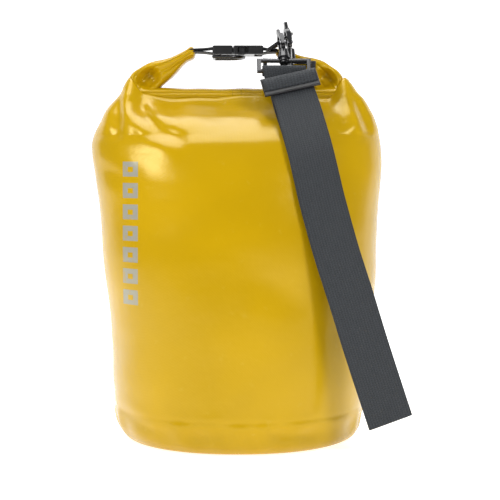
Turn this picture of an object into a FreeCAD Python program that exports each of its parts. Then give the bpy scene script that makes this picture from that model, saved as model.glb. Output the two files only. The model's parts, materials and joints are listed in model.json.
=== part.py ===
"""Fifteen-litre roll-top dry bag with a doubled shoulder strap, in millimetres.

The origin is the centre of the round base, on the surface that the bag stands on. +Z is up, -Y is
the front and the strap hangs over the front, towards +X. The mouth is rolled down and its two ends
fold up and inwards, to meet in a side-release buckle that makes the carry handle.
"""
import FreeCAD, Part
import math
import os
import re

import Sketcher

V = FreeCAD.Vector
Turn = FreeCAD.Rotation
X_AXIS, Y_AXIS, Z_AXIS = V(1, 0, 0), V(0, 1, 0), V(0, 0, 1)

SIZES = {
    # fabric tube: height, half width and half depth of each level
    "wall": 0.9, "base_radius": 112.0, "base_rounding": 14.0, "rim_height": 40.0,
    "foot_level": 26.0, "foot_width": 112.0, "foot_depth": 112.0,
    "low_level": 95.0, "low_width": 114.0, "low_depth": 112.0,
    "belly_level": 190.0, "belly_width": 122.0, "belly_depth": 106.0,
    "chest_level": 236.0, "chest_width": 126.0, "chest_depth": 96.0,
    "shoulder_level": 256.0, "shoulder_width": 128.0, "shoulder_depth": 86.0,
    "slope_level": 271.0, "slope_width": 125.0, "slope_depth": 72.0,
    "neck_level": 284.0, "neck_width": 118.0, "neck_depth": 52.0,
    "mouth_level": 296.0, "mouth_width": 106.0, "mouth_depth": 22.0,
    # rolled collar and the two stiffening strips inside it
    "roll_length": 196.0, "roll_width": 32.0, "roll_height": 13.5, "roll_rounding": 5.0,
    "fold_length": 12.0, "fold_height": 8.5,
    "strip_length": 188.0, "strip_height": 6.0, "strip_thickness": 1.2, "strip_gap": 0.3,
    # folded roll ends that make the handle
    "arm_rounding": 3.0, "arm_root_height": 15.0, "arm_tip_height": 7.0, "arm_root_width": 22.0,
    "arm_tip_width": 15.0,
    "arm_root_x": 91.0, "arm_root_z": 327.5, "left_tip_x": 39.0, "right_tip_x": 33.5, "arm_tip_z": 343.5,
    # webbing
    "narrow_webbing": 25.0, "strap_width": 38.0, "webbing_thickness": 1.3, "strap_thickness": 1.5,
    "fit": 0.3, "eye_turn_gap": 0.9,
    # side-release buckle, flat faces up and down
    "buckle_z": 343.5, "buckle_rounding": 1.6, "buckle_width": 33.0, "buckle_thickness": 7.6,
    "plug_left": -21.6,
    "plug_shoulder": -3.6, "socket_left": -3.3, "socket_right": 23.4, "socket_bottom_x": 14.5,
    "bar_length": 3.9, "bar_thickness": 3.2, "bar_slot": 3.9, "socket_wall": 2.4, "socket_skin": 1.3,
    "tongue_width": 5.6, "tongue_length": 16.0, "tongue_thickness": 3.0,
    "prong_length": 18.0, "prong_width": 2.6, "prong_thickness": 4.0, "prong_inset": 1.2,
    "window_start": 0.6, "window_end": 10.4, "barb_length": 6.4, "barb_out": 2.6,
    # D-rings
    "ring_wire": 1.45, "ring_half_width": 14.75, "ring_leg": 12.0, "left_ring_x": -20.5,
    "left_ring_z": 337.6, "right_ring_x": 27.2,
    # snap hooks, each with a swivelling eye
    "eye_width": 47.0, "eye_window": 40.0, "eye_thickness": 3.2, "eye_bar": 3.4, "eye_drop": 12.0,
    "hub_bottom_radius": 5.6, "hub_top_radius": 4.2, "hub_boss_radius": 4.2, "hub_top": 11.3,
    "post_radius": 2.2, "post_clearance": 0.3, "rivet_radius": 3.5, "rivet_height": 1.6,
    "hook_thickness": 4.0, "hook_inner": 5.1, "hook_stock": 3.1, "hook_low": 21.0, "hook_high": 22.2,
    "hook_foot": 12.0, "gate_depth": 3.2, "gate_low": 18.2, "gate_high": 25.4, "gate_pin_z": 16.2,
    "gate_back": 0.4, "gate_pin_radius": 0.8, "gate_pin_clearance": 0.15, "gate_tongue": 2.6,
    "gate_fork": 3.2,
    "spring_radius": 0.95, "spring_wire": 0.35, "spring_length": 3.4, "spring_drop": 1.9,
    "nose_width": 2.6, "nose_round": 1.2, "tip_height": 5.0, "pin_head": 0.5,
    # slider on the strap
    "slider_width": 49.0, "slider_window": 40.6, "slider_thickness": 2.6, "slider_bar": 7.0,
    "slider_slot": 2.6, "slider_top": 2.0, "slider_bottom": 5.0, "hump_gap": 0.7,
}

doc = FreeCAD.newDocument("dry_bag")
sheet = doc.addObject("Spreadsheet::Sheet", "Sizes")
for row, (alias, value) in enumerate(SIZES.items(), 1):
    sheet.set(f"A{row}", alias)
    sheet.set(f"B{row}", str(value))
    sheet.setAlias(f"B{row}", alias)
doc.recompute()
made = {}


def bound(text):
    """An expression in which each size's name refers to its cell in the sheet."""
    return re.sub(r"[a-z]\w*", lambda word: "Sizes." + word[0] if word[0] in SIZES else word[0], str(text))


def size(name):
    return float(sheet.get(name))


def bind(obj, **expressions):
    for name, text in expressions.items():
        obj.setExpression(name, bound(text))


def place(obj, at, turn=None):
    """Binds where an object stands to three expressions, after turning it."""
    obj.Placement = FreeCAD.Placement(V(), turn or Turn())
    for axis, text in zip("xyz", at):
        obj.setExpression(f"Placement.Base.{axis}", bound(text))
    return obj


def block(name, middle, lengths):
    """A box about its middle."""
    obj = doc.addObject("Part::Box", name)
    bind(obj, Length=lengths[0], Width=lengths[1], Height=lengths[2])
    return place(obj, [f"{m} - ({length}) / 2" for m, length in zip(middle, lengths)])


def span(name, x, y, z):
    """A box between two ends along each axis."""
    obj = doc.addObject("Part::Box", name)
    bind(obj, Length=f"{x[1]} - ({x[0]})", Width=f"{y[1]} - ({y[0]})", Height=f"{z[1]} - ({z[0]})")
    return place(obj, (x[0], y[0], z[0]))


def rod(name, axis, start, radius, length):
    """A cylinder that begins at start and runs along the axis."""
    obj = doc.addObject("Part::Cylinder", name)
    bind(obj, Radius=radius, Height=length)
    return place(obj, start, Turn(Z_AXIS, axis))


def join(name, *objects):
    obj = doc.addObject("Part::MultiFuse", name)
    obj.Shapes = list(objects)
    return obj


def cut(name, base, *tools):
    obj = doc.addObject("Part::Cut", name)
    obj.Base = base
    obj.Tool = tools[0] if len(tools) == 1 else join(name + "_tools", *tools)
    return obj


def soften(name, obj, radius, choose):
    """Rounds the edges that choose picks."""
    doc.recompute()
    edges = [n for n, edge in enumerate(obj.Shape.Edges, 1) if choose(edge)]
    fillet = doc.addObject("Part::Fillet", name)
    fillet.Base = obj
    fillet.Edges = [(n, radius, radius) for n in edges]
    return fillet


def finish(label, obj, placement=None):
    """Names a sub-part, moves it to its place and keeps it for export."""
    obj.Label = label
    if placement:
        obj.Placement = placement
    made[label] = obj
    return obj


def runs_along(edge, axis):
    """Is the edge straight, and parallel to the axis?"""
    if not isinstance(edge.Curve, (Part.Line, Part.LineSegment)):
        return False
    return edge.tangentAt(edge.FirstParameter).cross(axis).Length < 1e-6


def flat_sketch(body, name, role):
    sketch = body.newObject("Sketcher::SketchObject", name)
    plane = [f for f in body.Origin.OriginFeatures if f.Role == role][0]
    sketch.AttachmentSupport = (plane, [""])
    sketch.MapMode = "FlatFace"
    return sketch


def rectangle(sketch, left, low, width, height):
    """Adds a rectangle whose corner and sides are bound to expressions."""
    first = len(sketch.Geometry)
    corners = [V(0, 0, 0), V(9, 0, 0), V(9, 9, 0), V(0, 9, 0)]
    for n in range(4):
        sketch.addGeometry(Part.LineSegment(corners[n], corners[(n + 1) % 4]), False)
    for n in range(4):
        sketch.addConstraint(Sketcher.Constraint("Coincident", first + n, 2, first + (n + 1) % 4, 1))
        sketch.addConstraint(Sketcher.Constraint("Vertical" if n % 2 else "Horizontal", first + n))
    for kind, ends, text in (
        ("DistanceX", (first, 1, first, 2), width),
        ("DistanceY", (first + 1, 1, first + 1, 2), height),
        ("DistanceX", (-1, 1, first, 1), left),
        ("DistanceY", (-1, 1, first, 1), low),
    ):
        n = sketch.addConstraint(Sketcher.Constraint(kind, *ends, 1.0))
        sketch.setExpression(f"Constraints[{n}]", bound(text))


def plate(label, outline, windows, thickness):
    """A flat plate in the XZ plane, with rectangular windows, about its own middle plane."""
    body = doc.addObject("PartDesign::Body", label)
    face = flat_sketch(body, label + "_outline", "XZ_Plane")
    rectangle(face, *outline)
    pad = body.newObject("PartDesign::Pad", label + "_pad")
    pad.Profile = face
    pad.SideType = "Symmetric"
    bind(pad, Length=thickness)
    holes = flat_sketch(body, label + "_windows", "XZ_Plane")
    for window in windows:
        rectangle(holes, *window)
    pocket = body.newObject("PartDesign::Pocket", label + "_pocket")
    pocket.Profile = holes
    pocket.SideType = "Symmetric"
    bind(pocket, Length=f"{thickness} * 2")
    body.Tip = pocket
    doc.recompute()
    return body


# ---- bag: fabric tube, base, rolled collar ----

LEVELS = ("foot", "low", "belly", "chest", "shoulder", "slope", "neck", "mouth")


def tube_skin(inset):
    """The fabric tube's surface, drawn in by inset, ruled from each level's ellipse to the next."""
    rings = []
    for level in LEVELS:
        middle = V(0, 0, size(f"{level}_level"))
        width, depth = size(f"{level}_width") - inset, size(f"{level}_depth") - inset
        curve = Part.Ellipse(middle, width, depth) if width > depth else Part.Circle(middle, Z_AXIS, width)
        rings.append(Part.Wire([curve.toShape()]))
    return Part.makeLoft(rings, False, True)


def level_edge(skin, height):
    """The closed edge of a skin that lies at one height."""
    flat = [e for e in skin.Edges if e.BoundBox.ZLength < 1e-4 and abs(e.BoundBox.ZMin - height) < 1e-4]
    return Part.Wire(flat)


def make_body_wall():
    """The tube: an outer and an inner skin, closed by a flat rim at each end and open inside."""
    skins = tube_skin(0), tube_skin(size("wall"))
    faces = skins[0].Faces + skins[1].Faces
    for level in (LEVELS[0], LEVELS[-1]):
        height = size(f"{level}_level")
        edges = [level_edge(skin, height) for skin in skins]
        faces.append(Part.makeFace(edges, "Part::FaceMakerBullseye"))
    shell = Part.Shell(faces)
    shell.sewShape()
    wall = doc.addObject("Part::Feature", "body_wall")
    wall.Shape = Part.Solid(shell)
    finish("body_wall", wall)


def make_base_panel():
    """A round panel with a rounded edge and a rim that is welded inside the tube."""
    body = doc.addObject("PartDesign::Body", "base_panel")
    disc = flat_sketch(body, "base_disc", "XY_Plane")
    disc.addGeometry(Part.Circle(V(), Z_AXIS, 100), False)
    disc.addConstraint(Sketcher.Constraint("Coincident", 0, 3, -1, 1))
    radius = disc.addConstraint(Sketcher.Constraint("Radius", 0, 100.0))
    disc.setExpression(f"Constraints[{radius}]", bound("base_radius - wall"))
    pad = body.newObject("PartDesign::Pad", "base_pad")
    pad.Profile = disc
    bind(pad, Length="rim_height")
    doc.recompute()
    rounding = body.newObject("PartDesign::Fillet", "base_edge")
    low = [f"Edge{n}" for n, edge in enumerate(pad.Shape.Edges, 1) if edge.BoundBox.ZMax < 0.01]
    rounding.Base = (pad, low)
    bind(rounding, Radius="base_rounding")
    doc.recompute()
    hollow = body.newObject("PartDesign::Thickness", "base_hollow")
    rim = size("rim_height") - 0.01
    top = [f"Face{n}" for n, face in enumerate(rounding.Shape.Faces, 1) if face.CenterOfMass.z > rim]
    hollow.Base = (rounding, top)
    hollow.Reversed = True
    bind(hollow, Value="wall")
    body.Tip = hollow
    finish("base_panel", body)


def make_collar():
    """The rolled mouth with its two folded corners, and a slot for the stiffening strips."""
    half, middle = "roll_length / 2", "mouth_level + roll_height / 2"
    roll = block("roll", (0, 0, middle), ("roll_length", "roll_width", "roll_height"))
    corners = [
        span(
            f"corner_{side}",
            (f"{side} * ({half}) - fold_length / 2", f"{side} * ({half}) + fold_length / 2"),
            ("-roll_width / 2", "roll_width / 2"),
            ("mouth_level + 2", "mouth_level + roll_height + fold_height"),
        )
        for side in (-1, 1)
    ]
    solid = join("roll_and_corners", roll, *corners)
    solid = soften(
        "soft_roll", solid, size("roll_rounding"),
        lambda edge: runs_along(edge, X_AXIS) and edge.Length > 100,
    )
    slot = block(
        "strip_slot", (0, 0, middle),
        (
            "strip_length + 2 * strip_gap", "strip_thickness * 2 + strip_gap * 3",
            "strip_height + 2 * strip_gap",
        ),
    )
    finish("rolled_collar", cut("rolled_collar", solid, slot))
    for label, side in (("stiffener_front", -1), ("stiffener_back", 1)):
        at = (0, f"{side} * (strip_thickness + strip_gap) / 2", middle)
        strip = block(label, at, ("strip_length", "strip_thickness", "strip_height"))
        finish(label, strip)


def make_arm(label, side, tip):
    """A folded roll end: a wedge from the fold corner up to the buckle's webbing."""
    root_x, root_z, tip_z = size("arm_root_x"), size("arm_root_z"), size("arm_tip_z")
    run, rise = root_x - size(tip), tip_z - root_z
    wedge = doc.addObject("Part::Wedge", label)
    bind(
        wedge, Xmin="-arm_root_width / 2", Xmax="arm_root_width / 2", Zmin="-arm_root_height / 2",
        Zmax="arm_root_height / 2", X2min="-arm_tip_width / 2", X2max="arm_tip_width / 2",
        Z2min="-arm_tip_height / 2", Z2max="arm_tip_height / 2",
    )
    wedge.Ymin, wedge.Ymax = 0, math.hypot(run, rise)
    along = V(-side * run, 0, rise).normalize()
    turn = Turn(V(0, 1, 0), along, V(), "YXZ")
    wedge.Placement = FreeCAD.Placement(V(side * root_x, 0, root_z), turn)
    soft = soften(label + "_soft", wedge, size("arm_rounding"), lambda edge: edge.Length > 40)
    finish(label, soft)


# ---- buckle ----


def across_or_upright(edge):
    return runs_along(edge, Y_AXIS) or runs_along(edge, Z_AXIS)


def make_plug():
    """The plug without its prongs: a barred end, a shoulder and a guiding tongue."""
    half = "buckle_width / 2"
    end = span(
        "plug_end", ("plug_left", "plug_shoulder"), (f"-{half}", half),
        ("buckle_z - buckle_thickness / 2", "buckle_z + buckle_thickness / 2"),
    )
    end = soften("plug_soft", end, size("buckle_rounding"), across_or_upright)
    slot = block(
        "plug_slot", ("plug_left + bar_length + bar_slot / 2", 0, "buckle_z"),
        ("bar_slot", "narrow_webbing + 2 * fit", "buckle_thickness + 2"),
    )
    recess = ("plug_left - 1", "plug_left + bar_length")
    trims = [
        span(f"plug_trim_{n}", recess, ("-narrow_webbing / 2 - fit", "narrow_webbing / 2 + fit"), z)
        for n, z in enumerate((
            ("buckle_z + bar_thickness / 2", "buckle_z + buckle_thickness"),
            ("buckle_z - buckle_thickness", "buckle_z - bar_thickness / 2"),
        ))
    ]
    tongue = span(
        "plug_tongue", ("plug_shoulder - 1", "plug_shoulder + tongue_length"),
        ("-tongue_width / 2", "tongue_width / 2"),
        ("buckle_z - tongue_thickness / 2", "buckle_z + tongue_thickness / 2"),
    )
    finish("buckle_plug", join("buckle_plug", cut("plug_end_cut", end, slot, *trims), tongue))


def make_prong(label, side):
    """A springy arm with a barb that stands in the socket's side window."""
    outer = f"{side} * (buckle_width / 2 - socket_wall - prong_inset)"
    inner = f"{side} * (buckle_width / 2 - socket_wall - prong_inset - prong_width)"
    y = (outer, inner) if side < 0 else (inner, outer)
    z = ("buckle_z - prong_thickness / 2", "buckle_z + prong_thickness / 2")
    arm = span(label + "_arm", ("plug_shoulder", "plug_shoulder + prong_length"), y, z)
    tip = f"{side} * (buckle_width / 2 - socket_wall - prong_inset + barb_out)"
    barb_y = (tip, outer) if side < 0 else (outer, tip)
    barb = span(label + "_barb", ("window_start + fit", "window_start + fit + barb_length"), barb_y, z)
    doc.recompute()
    middle = abs(barb.Shape.CenterOfMass.y)
    barb = soften(
        label + "_soft", barb, size("buckle_rounding"),
        lambda edge: runs_along(edge, Z_AXIS) and abs(edge.CenterOfMass.y) > middle,
    )
    finish(label, join(label, arm, barb))


def make_socket():
    """A flat shell with side windows, closed at its end, and a bar for the webbing."""
    half = "buckle_width / 2"
    z = ("buckle_z - buckle_thickness / 2", "buckle_z + buckle_thickness / 2")
    shell = span("socket_shell", ("socket_left", "socket_right"), (f"-{half}", half), z)
    shell = soften("socket_soft", shell, size("buckle_rounding"), across_or_upright)
    room = span(
        "socket_room", ("socket_left - 2", "socket_bottom_x + 1"),
        (f"-{half} + socket_wall", f"{half} - socket_wall"),
        (f"{z[0]} + socket_skin", f"{z[1]} - socket_skin"),
    )
    windows = span(
        "socket_windows", ("window_start", "window_end"), (f"-{half} - 1", f"{half} + 1"),
        ("buckle_z - prong_thickness / 2 - fit", "buckle_z + prong_thickness / 2 + fit"),
    )
    slot = block(
        "socket_slot", ("socket_right - bar_length - bar_slot / 2", 0, "buckle_z"),
        ("bar_slot", "narrow_webbing + 2 * fit", "buckle_thickness + 2"),
    )
    trims = [
        span(
            f"socket_trim_{n}", ("socket_right - bar_length", "socket_right + 1"),
            ("-narrow_webbing / 2 - fit", "narrow_webbing / 2 + fit"), trim,
        )
        for n, trim in enumerate((
            ("buckle_z + bar_thickness / 2", "buckle_z + buckle_thickness"),
            ("buckle_z - buckle_thickness", "buckle_z - bar_thickness / 2"),
        ))
    ]
    finish("buckle_socket", cut("buckle_socket", shell, room, windows, slot, *trims))


def webbing_loop(label, bar_x, arm_x, side, ring=None):
    """Narrow webbing round a buckle bar, sewn to a roll end; it may carry a D-ring below."""
    gap = "bar_thickness / 2 + fit"
    width = ("-narrow_webbing / 2", "narrow_webbing / 2")
    near, far = f"{bar_x} - {side} * (fit + webbing_thickness)", arm_x
    inner_near, inner_far = f"{bar_x} - {side} * fit", f"{arm_x} - {side} * 1.5"
    order = (lambda a, b: (a, b)) if side > 0 else (lambda a, b: (b, a))
    outside = span(
        label + "_outside", order(near, far), width,
        (f"buckle_z - ({gap}) - webbing_thickness", f"buckle_z + ({gap}) + webbing_thickness"),
    )
    inside = span(
        label + "_inside", order(inner_near, inner_far), ("-narrow_webbing", "narrow_webbing"),
        (f"buckle_z - ({gap})", f"buckle_z + {gap}"),
    )
    loop = cut(label + "_loop", outside, inside)
    if not ring:
        return finish(label, loop)
    x, z = ring
    start = (x, "-narrow_webbing / 2", z)
    sleeve = rod(label + "_sleeve", Y_AXIS, start, "ring_wire + fit + webbing_thickness", "narrow_webbing")
    bore = rod(label + "_bore", Y_AXIS, start, "ring_wire + fit", "narrow_webbing")
    return finish(label, cut(label, join(label + "_both", loop, sleeve), bore))


# ---- D-rings ----


def make_ring(label, x, z, lift):
    """A D of round wire, its straight bar along Y, turned up from level by lift degrees."""
    half = "ring_half_width"
    bar = rod(label + "_bar", Y_AXIS, (0, f"-{half}", 0), "ring_wire", f"2 * {half}")
    legs = [rod(f"{label}_leg{s}", X_AXIS, (0, f"{s} * {half}", 0), "ring_wire", "ring_leg") for s in (-1, 1)]
    corners = []
    for side in (-1, 1):
        ball = doc.addObject("Part::Sphere", f"{label}_corner{side}")
        bind(ball, Radius="ring_wire")
        corners.append(place(ball, (0, f"{side} * {half}", 0)))
    bow = doc.addObject("Part::Torus", label + "_bow")
    bind(bow, Radius1=half, Radius2="ring_wire")
    bow.Angle3 = 180
    place(bow, ("ring_leg", 0, 0), Turn(Z_AXIS, -90))
    ring = join(label, bar, *legs, *corners, bow)
    finish(label, ring, FreeCAD.Placement(V(size(x), 0, size(z)), Turn(Y_AXIS, -lift)))


# ---- snap hooks ----


def make_hook(prefix, frame, lean):
    """A snap hook and its swivelling eye, drawn about the eye's top bar and placed by frame."""
    eye = plate(
        prefix + "_eye_frame",
        ("-eye_width / 2", "-eye_drop - eye_bar / 2", "eye_width", "eye_drop + eye_bar"),
        [("-eye_window / 2", "-eye_drop + eye_bar / 2", "eye_window", "eye_drop - eye_bar")],
        "eye_thickness",
    )
    eye = soften(prefix + "_eye_soft", eye, 1.0, lambda e: runs_along(e, X_AXIS) or (
        runs_along(e, Z_AXIS) and abs(e.CenterOfMass.x) > size("eye_window") / 2 + 1))
    hub = doc.addObject("Part::Cone", prefix + "_hub")
    bind(hub, Radius1="hub_bottom_radius", Radius2="hub_top_radius", Height="hub_top - eye_bar / 2")
    place(hub, (0, 0, "eye_bar / 2"))
    boss = rod(prefix + "_boss", Z_AXIS, (0, 0, "-eye_bar / 2"), "hub_boss_radius", "eye_bar")
    hole = rod(
        prefix + "_hole", Z_AXIS, (0, 0, "-eye_bar"), "post_radius + post_clearance",
        "hub_top + 2 * eye_bar",
    )
    whole = join(prefix + "_eye_all", eye, hub, boss)
    finish(prefix + "_swivel_eye", cut(prefix + "_swivel_eye", whole, hole), frame)

    post = rod(
        prefix + "_post", Z_AXIS, (0, 0, "-eye_bar / 2 - fit - 1"), "post_radius",
        "hook_foot + eye_bar / 2 + fit + 1.4",
    )
    rivet = rod(
        prefix + "_rivet", Z_AXIS, (0, 0, "-eye_bar / 2 - fit - rivet_height"), "rivet_radius",
        "rivet_height",
    )
    half, tall = "hook_thickness / 2", "hook_high - hook_low"
    rings = []
    for name, reach, grow in (("outer", "hook_inner + hook_stock", "0"), ("inner", "hook_inner", "1")):
        start, length = f"-({half}) - {grow}", f"hook_thickness + 2 * {grow}"
        rounds = [
            rod(f"{prefix}_{name}_{z}", X_AXIS, (start, 0, z), reach, length)
            for z in ("hook_low", "hook_high")
        ]
        middle = span(
            f"{prefix}_{name}_mid", (start, f"{half} + {grow}"), (f"-({reach})", reach),
            ("hook_low", "hook_high"),
        )
        rings.append(join(f"{prefix}_{name}", *rounds, middle))
    front = ("-hook_inner - hook_stock - 1", "-hook_inner + 1")
    mouth = span(
        prefix + "_mouth", (f"-({half}) - 1", f"{half} + 1"), front, ("gate_low - fit", "gate_high + fit"))
    fork = span(
        prefix + "_fork", ("-gate_fork / 2", "gate_fork / 2"),
        ("-hook_inner - hook_stock - 1", "-hook_inner + 0.4"), ("gate_pin_z - 3", "gate_high"),
    )
    pocket = rod(
        prefix + "_pocket", Y_AXIS, (0, "-hook_inner", "gate_pin_z - spring_drop"), "spring_radius + fit / 2",
        "spring_length")
    pin_y = "-hook_inner - gate_depth / 2 - gate_back"
    pin_at = (f"-({half})", pin_y, "gate_pin_z")
    pin_hole = rod(prefix + "_pin_hole", X_AXIS, (f"-({half}) - 1", pin_y, "gate_pin_z"), "gate_pin_radius",
                   "hook_thickness + 2")
    bow = cut(prefix + "_bow", rings[0], rings[1], mouth, fork, pocket, pin_hole)
    nose = span(
        prefix + "_nose", ("-nose_width / 2", "nose_width / 2"), ("-3.5", "2.5"),
        ("hook_high + hook_inner + hook_stock - 1", "hook_high + hook_inner + hook_stock + tip_height"))
    nose = soften(
        prefix + "_nose_soft", nose, size("nose_round"),
        lambda edge: runs_along(edge, X_AXIS) and edge.CenterOfMass.z > size("hook_high") + 10,
    )
    foot = V(0, 0, size("hook_foot"))
    bend = Turn(Y_AXIS, -lean)
    bent = frame.multiply(FreeCAD.Placement(foot - bend.multVec(foot), bend))
    bowed = join(prefix + "_bowed", bow, nose)
    bowed.Placement = FreeCAD.Placement(foot - bend.multVec(foot), bend)
    finish(prefix + "_hook_body", join(prefix + "_hook_body", post, rivet, bowed), frame)

    gate_y = ("-hook_inner - gate_back - gate_depth", "-hook_inner - gate_back")
    blade = span(prefix + "_blade", (f"-({half})", half), gate_y, ("gate_low", "gate_high"))
    tongue = span(
        prefix + "_gate_tongue", ("-gate_tongue / 2", "gate_tongue / 2"), gate_y,
        ("gate_pin_z - 2.6", "gate_low + 1"),
    )
    gate_bore = rod(prefix + "_gate_bore", X_AXIS, ("-5", pin_y, "gate_pin_z"),
                    "gate_pin_radius + gate_pin_clearance", "10")
    gate = join(prefix + "_gate_all", blade, tongue)
    finish(prefix + "_gate", cut(prefix + "_gate", gate, gate_bore), bent)
    pin = rod(prefix + "_pin", X_AXIS, pin_at, "gate_pin_radius", "hook_thickness")
    heads = [
        rod(
            f"{prefix}_pin_head_{n}", X_AXIS, (start, pin_y, "gate_pin_z"), "gate_pin_radius + 0.4",
            "pin_head",
        )
        for n, start in enumerate((f"-({half}) - pin_head", half))
    ]
    finish(prefix + "_gate_pin", join(prefix + "_gate_pin", pin, *heads), bent)
    coil_at = (0, "-hook_inner - 0.2", "gate_pin_z - spring_drop")
    coil = rod(prefix + "_coil", Y_AXIS, coil_at, "spring_radius", "spring_length")
    core = rod(prefix + "_core", Y_AXIS, coil_at, "spring_radius - spring_wire", "spring_length")
    finish(prefix + "_gate_spring", cut(prefix + "_gate_spring", coil, core), bent)


# ---- shoulder strap and slider ----


def ribbon(label, stations):
    """A flat strap as a ruled loft: each station has its middle, its width direction and its normal."""
    half_width, half_thick = size("strap_width") / 2, size("strap_thickness") / 2
    wires = []
    for middle, across, normal in stations:
        w, n = across * half_width, normal * half_thick
        corners = [middle - w - n, middle + w - n, middle + w + n, middle - w + n]
        wires.append(Part.makePolygon(corners + corners[:1]))
    strap = doc.addObject("Part::Feature", label)
    strap.Shape = Part.makeLoft(wires, True, True)
    finish(label, strap)


def across(degrees):
    """The strap's width direction, its right edge raised by some degrees."""
    return V(math.cos(math.radians(degrees)), 0, math.sin(math.radians(degrees)))


def around_bar(frame, radius, degrees):
    """Stations of a turn of webbing round an eye's lower bar, from the back over the top to the front."""
    found = []
    side = frame.Rotation.multVec(X_AXIS)
    for angle in degrees:
        out = V(0, math.cos(math.radians(angle)), math.sin(math.radians(angle)))
        middle = frame.multVec(V(0, 0, -size("eye_drop")) + out * radius)
        found.append((middle, side, frame.Rotation.multVec(out)))
    return found


def layer(points):
    """Stations along points (x, y, z, tilt); each normal faces forwards and up."""
    found = []
    for n, (x, y, z, tilt) in enumerate(points):
        before, after = points[max(n - 1, 0)], points[min(n + 1, len(points) - 1)]
        along = V(*after[:3]) - V(*before[:3])
        side = across(tilt)
        found.append((V(x, y, z), side, along.cross(side).normalize()))
    return found


FRONT_RUN = [
    (43.0, -41.5, 318.0, 4), (45.8, -45.8, 312.6, 6), (51.7, -61.3, 293.0, 8), (57.0, -78.0, 272.0, 10),
    (61.3, -90.0, 254.0, 12), (66.0, -97.5, 233.0, 13), (70.8, -102.0, 212.0, 14), (81.8, -106.0, 172.0, 15),
    (94.2, -108.0, 133.0, 16), (106.6, -109.0, 93.0, 17), (119.4, -109.0, 54.0, 18),
    (127.0, -109.0, 31.0, 20),
]
BACK_RUN = [
    (47.2, -24.0, 311.0, 4), (49.2, -36.5, 299.5, 6), (52.6, -56.0, 286.0, 8), (57.0, -74.5, 270.5, 10),
]
LAYER_GAP = 3.0
SLIDER_GAP = 1.0


def make_strap(front_frame, back_frame):
    """One strap: round the front eye, down the front, a tight fold, up behind it, round the back eye."""
    turn_radius = size("eye_thickness") / 2 + size("eye_turn_gap") + size("strap_thickness") / 2
    front = around_bar(front_frame, turn_radius, (-40, 0, 45, 90, 135, 180))
    front += layer(FRONT_RUN)
    last, side, normal = front[-1]
    down = (last - front[-2][0]).normalize()
    fold = []
    for angle in (45, 90, 135):
        turn = math.radians(angle)
        out = normal * math.cos(turn) + down * math.sin(turn)
        fold.append((last - normal * (LAYER_GAP / 2) + out * (LAYER_GAP / 2), side, out))
    behind = [(middle - n * LAYER_GAP, s, n * -1) for middle, s, n in reversed(layer(FRONT_RUN)[4:])]
    behind += [(m, s, n * -1) for m, s, n in reversed(layer(BACK_RUN))]
    top = around_bar(back_frame, turn_radius, (180, 135, 90, 45, 0, -40))
    ribbon("shoulder_strap", front + fold + behind + top)


def make_slider(frame):
    """A three-bar slider, and the turn of webbing that is sewn round its middle bar."""
    low = "-slider_bar / 2 - slider_slot - slider_bottom"
    frame_plate = plate(
        "strap_slider", ("-slider_width / 2", low, "slider_width",
                         "slider_bar + 2 * slider_slot + slider_top + slider_bottom"),
        [
            ("-slider_window / 2", "-slider_bar / 2 - slider_slot", "slider_window", "slider_slot"),
            ("-slider_window / 2", "slider_bar / 2", "slider_window", "slider_slot"),
        ], "slider_thickness",
    )
    soft = soften("slider_soft", frame_plate, 0.9, lambda e: runs_along(e, X_AXIS) or (
        runs_along(e, Z_AXIS) and abs(e.CenterOfMass.x) > size("slider_window") / 2 + 1))
    finish("strap_slider", soft, frame)
    half = "strap_width / 2"
    outer = rod("hump_outer", X_AXIS, (f"-{half}", 0, 0), "slider_bar / 2 + hump_gap + strap_thickness",
                "strap_width")
    inner = rod("hump_inner", X_AXIS, (f"-{half} - 1", 0, 0), "slider_bar / 2 + hump_gap", "strap_width + 2")
    behind = span("hump_behind", (f"-{half} - 1", f"{half} + 1"), ("0", "20"), ("-20", "20"))
    finish("slider_webbing", cut("slider_webbing", outer, inner, behind), frame)


make_body_wall()
make_base_panel()
make_collar()
make_arm("left_roll_end", -1, "left_tip_x")
make_arm("right_roll_end", 1, "right_tip_x")
make_plug()
make_prong("plug_prong_front", -1)
make_prong("plug_prong_back", 1)
make_socket()
webbing_loop("plug_webbing", "plug_left + bar_length", "-left_tip_x", -1, ("left_ring_x", "left_ring_z"))
webbing_loop("socket_webbing", "socket_right - bar_length", "right_tip_x", 1)

# The right D-ring is held up by the hooks. The front hook is on its front leg, and the back hook
# bites further round its bow, so the second one stands steeper and close behind the first.
STRAP_TILT = -38.6
HOOK_LEAN = 12.0
RING_LIFT = 35.0
BACK_HOOK_SWING = 31.0
BACK_BITE_X = 21.5
BITE_HEIGHT = 11.0
make_ring("left_d_ring", "left_ring_x", "left_ring_z", 0.0)
make_ring("right_d_ring", "right_ring_x", "buckle_z", RING_LIFT)

front_frame = FreeCAD.Placement(V(41.0, -29.4, 333.0), Turn(X_AXIS, STRAP_TILT))
lean_turn = Turn(Y_AXIS, -HOOK_LEAN)
bite = V(0, 0, size("hook_foot")) + lean_turn.multVec(V(0, 0, BITE_HEIGHT))
back_turn = front_frame.Rotation.multiply(Turn(lean_turn.multVec(X_AXIS), BACK_HOOK_SWING))
bow_side = -math.sqrt(size("ring_half_width") ** 2 - (BACK_BITE_X - size("ring_leg")) ** 2)
ring_frame = FreeCAD.Placement(V(size("right_ring_x"), 0, size("buckle_z")), Turn(Y_AXIS, -RING_LIFT))
back_bite = ring_frame.multVec(V(BACK_BITE_X, bow_side, 0))
back_frame = FreeCAD.Placement(back_bite - back_turn.multVec(bite), back_turn)
make_hook("front", front_frame, HOOK_LEAN)
make_hook("back", back_frame, HOOK_LEAN)
make_strap(front_frame, back_frame)

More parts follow.
